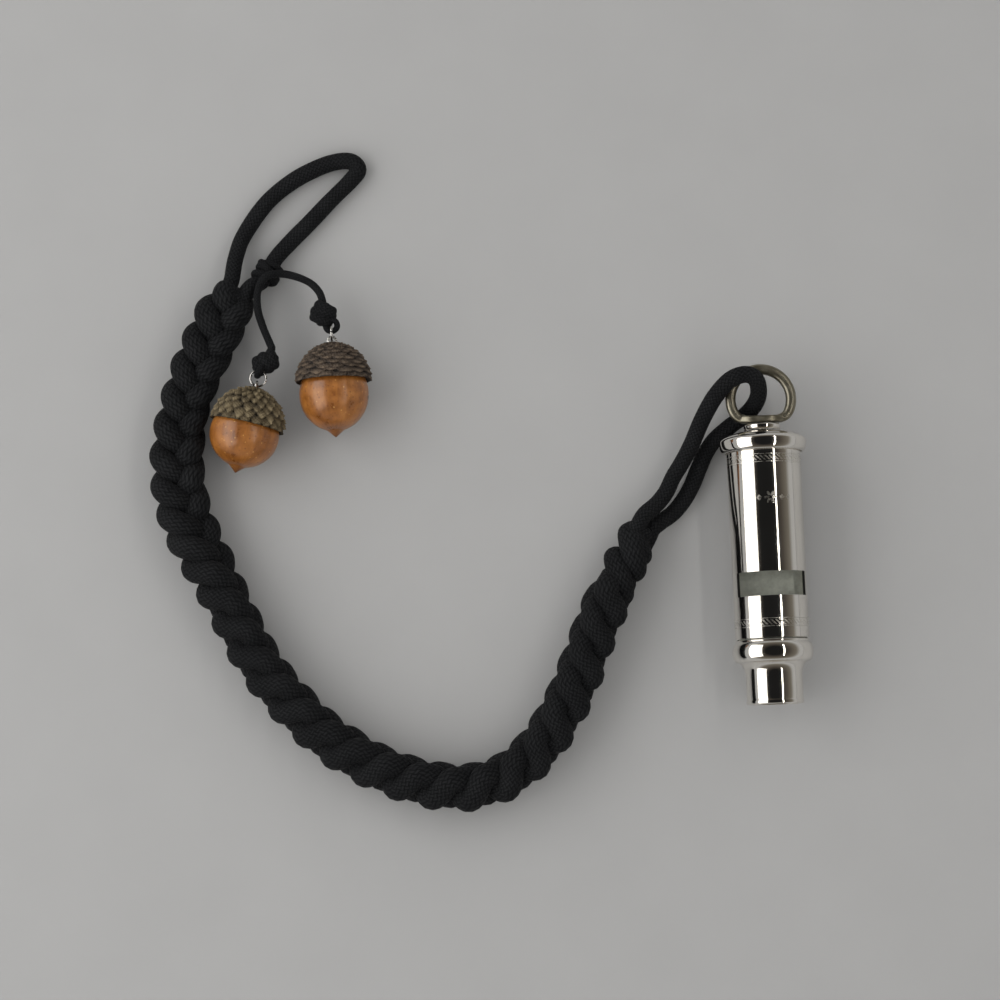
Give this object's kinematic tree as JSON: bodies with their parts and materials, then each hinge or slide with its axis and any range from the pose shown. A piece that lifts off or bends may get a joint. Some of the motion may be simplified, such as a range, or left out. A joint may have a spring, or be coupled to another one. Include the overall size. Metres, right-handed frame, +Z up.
{
  "type": "tube whistle on a plaited lanyard",
  "caption": "Two-chamber metal tube whistle with a domed cap and a swivelling D ring, on a black plaited cord lanyard with a hand loop and acorn charms.",
  "frame": {"origin": "bottom centre of the box of the whistle with its ring, as it lies on a flat surface", "axes": "+Y along the whistle from the mouthpiece to the ring, +Z up, +X to the right seen from above with the ring at the top; the lanyard lies on the -X side"},
  "size_m": [0.1689, 0.1736, 0.0225],
  "materials": {
    "plated": "bright nickel plate, polished",
    "dull_nickel": "dull, slightly yellow nickel",
    "block_metal": "plated brass, matt",
    "wire": "bright wire",
    "black_cord": "black woven cord",
    "acorn_cup": "scaly, brown and olive grey",
    "acorn_nut": "glossy orange brown"
  },
  "bodies": {
    "lanyard": {"lanyard_braid": "black_cord", "braid_end_knot": "black_cord", "hand_loop": "black_cord", "whistle_loop": "black_cord", "charm_wrap": "black_cord", "charm_cord": "black_cord", "charm_knot_left": "black_cord", "charm_knot_right": "black_cord"},
    "ring": {"suspension_ring": "dull_nickel"},
    "whistle": {"barrel": "plated", "top_cap": "plated", "swivel_boss": "plated", "swivel_rivet": "dull_nickel", "mouthpiece": "plated", "windway_block": "block_metal", "partition_plate": "block_metal", "chamber_stop": "block_metal"},
    "left_link": {"jump_ring_left": "wire"},
    "left_acorn": {"screw_eye_left": "wire", "acorn_cap_left": "acorn_cup", "acorn_nut_left": "acorn_nut"},
    "right_link": {"jump_ring_right": "wire"},
    "right_acorn": {"screw_eye_right": "wire", "acorn_cap_right": "acorn_cup", "acorn_nut_right": "acorn_nut"}
  },
  "joints": [
    {"name": "ring_turn", "type": "hinge", "parent": "lanyard", "child": "ring", "pos_m": [0, 0.0348, 0.01125], "axis": [0, 0, 1], "range_deg": [0, 120]},
    {"name": "whistle_swivel", "type": "hinge", "parent": "ring", "child": "whistle", "pos_m": [0, 0.0285, 0.01125], "axis": [0, 1, 0], "continuous": true},
    {"name": "left_link_swing", "type": "hinge", "parent": "lanyard", "child": "left_link", "pos_m": [-0.12994, 0.04542, 0.01015], "axis": [0, 0, 1], "range_deg": [0, 10]},
    {"name": "left_acorn_lift", "type": "hinge", "parent": "left_link", "child": "left_acorn", "pos_m": [-0.13047, 0.04344, 0.01015], "axis": [-0.965, 0.2622, 0], "range_deg": [0, 60]},
    {"name": "right_link_lift", "type": "hinge", "parent": "lanyard", "child": "right_link", "pos_m": [-0.11048, 0.05655, 0.01015], "axis": [-1, -0.0087, 0], "range_deg": [0, 60]},
    {"name": "right_acorn_swing", "type": "hinge", "parent": "right_link", "child": "right_acorn", "pos_m": [-0.11046, 0.0545, 0.01015], "axis": [0, 0, 1], "range_deg": [-8, 40]}
  ]
}
